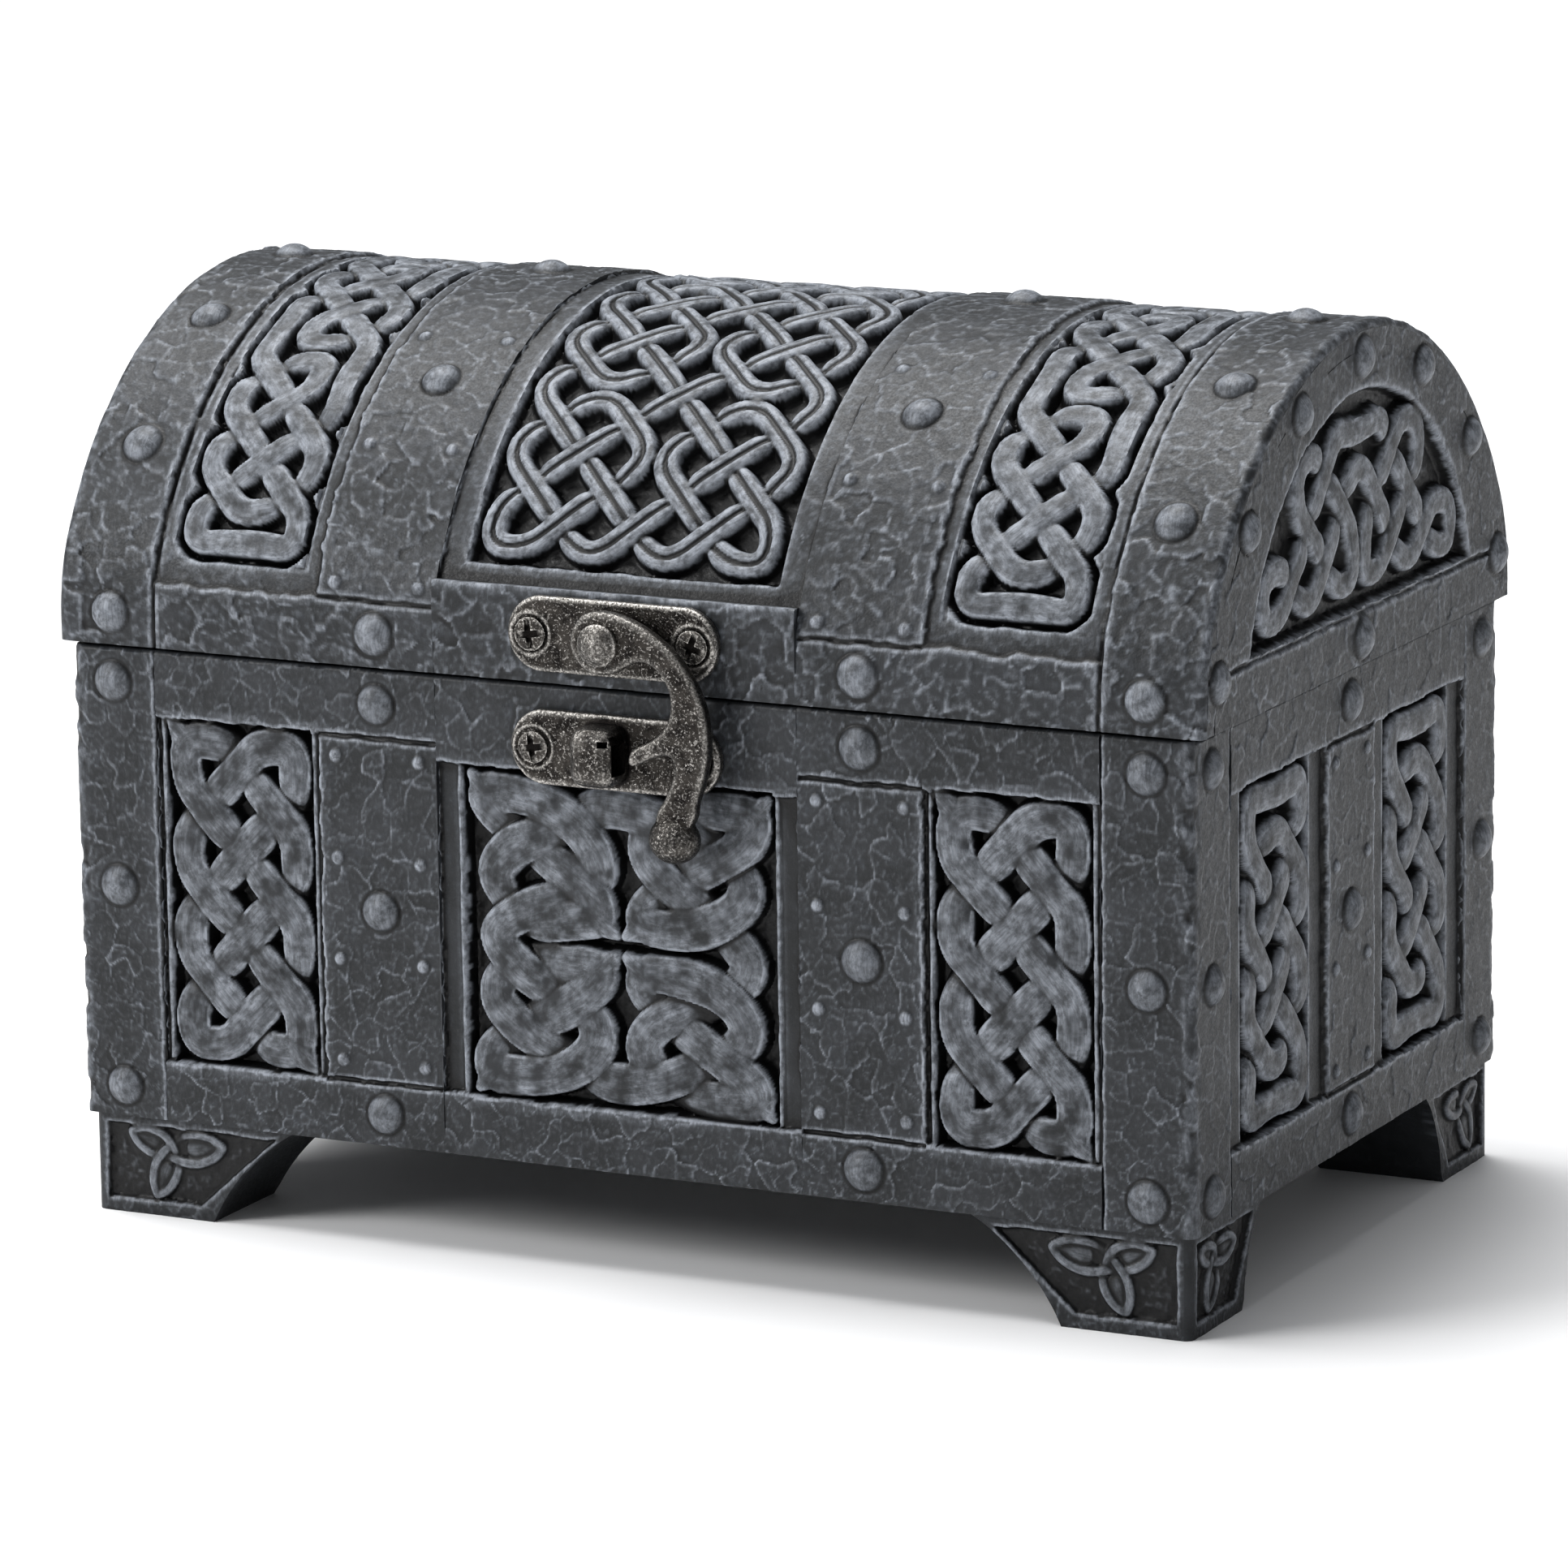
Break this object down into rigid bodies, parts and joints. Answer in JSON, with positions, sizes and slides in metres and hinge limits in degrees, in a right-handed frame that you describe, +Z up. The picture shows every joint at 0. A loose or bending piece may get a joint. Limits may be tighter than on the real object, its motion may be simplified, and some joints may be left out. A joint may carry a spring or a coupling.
{
  "type": "treasure chest",
  "caption": "Small cast trinket chest with an arched hinged lid, sunk interlace panels, riveted bands, bracket feet and a swing-hook latch.",
  "frame": {"origin": "on the floor under the middle of the whole chest, latch and hinges counted", "axes": "+X along the chest's length to the viewer's right, -Y out of the front with the latch, +Z up"},
  "size_m": [0.1556, 0.1039, 0.1147],
  "materials": {
    "resin": "cold-cast resin, dark grey with pale dry-brushed edges",
    "latch": "antique pewter plate on cast zinc",
    "hinges": "antique pewter plate on pressed steel",
    "screws": "darkened steel"
  },
  "bodies": {
    "base": {"base_casting": "resin", "catch_plate": "latch", "catch_plate_screw_left": "screws", "catch_plate_screw_right": "screws", "left_hinge_lower_leaf": "hinges", "left_hinge_lower_screw_a": "screws", "left_hinge_lower_screw_b": "screws", "left_hinge_pin": "screws", "right_hinge_lower_leaf": "hinges", "right_hinge_lower_screw_a": "screws", "right_hinge_lower_screw_b": "screws", "right_hinge_pin": "screws"},
    "lid": {"lid_casting": "resin", "latch_plate": "latch", "latch_rivet": "latch", "latch_plate_screw_left": "screws", "latch_plate_screw_right": "screws", "left_hinge_upper_leaf": "hinges", "left_hinge_upper_screw_a": "screws", "left_hinge_upper_screw_b": "screws", "right_hinge_upper_leaf": "hinges", "right_hinge_upper_screw_a": "screws", "right_hinge_upper_screw_b": "screws"},
    "hook": {"latch_hook": "latch"}
  },
  "joints": [
    {"name": "lid_hinge", "type": "hinge", "parent": "base", "child": "lid", "pos_m": [0, 0.0504, 0.0719], "axis": [-1, 0, 0], "range_deg": [0, 100]},
    {"name": "hook_swing", "type": "hinge", "parent": "lid", "child": "hook", "pos_m": [0.0008, -0.0491, 0.0783], "axis": [0, -1, 0], "range_deg": [-10, 150]}
  ]
}
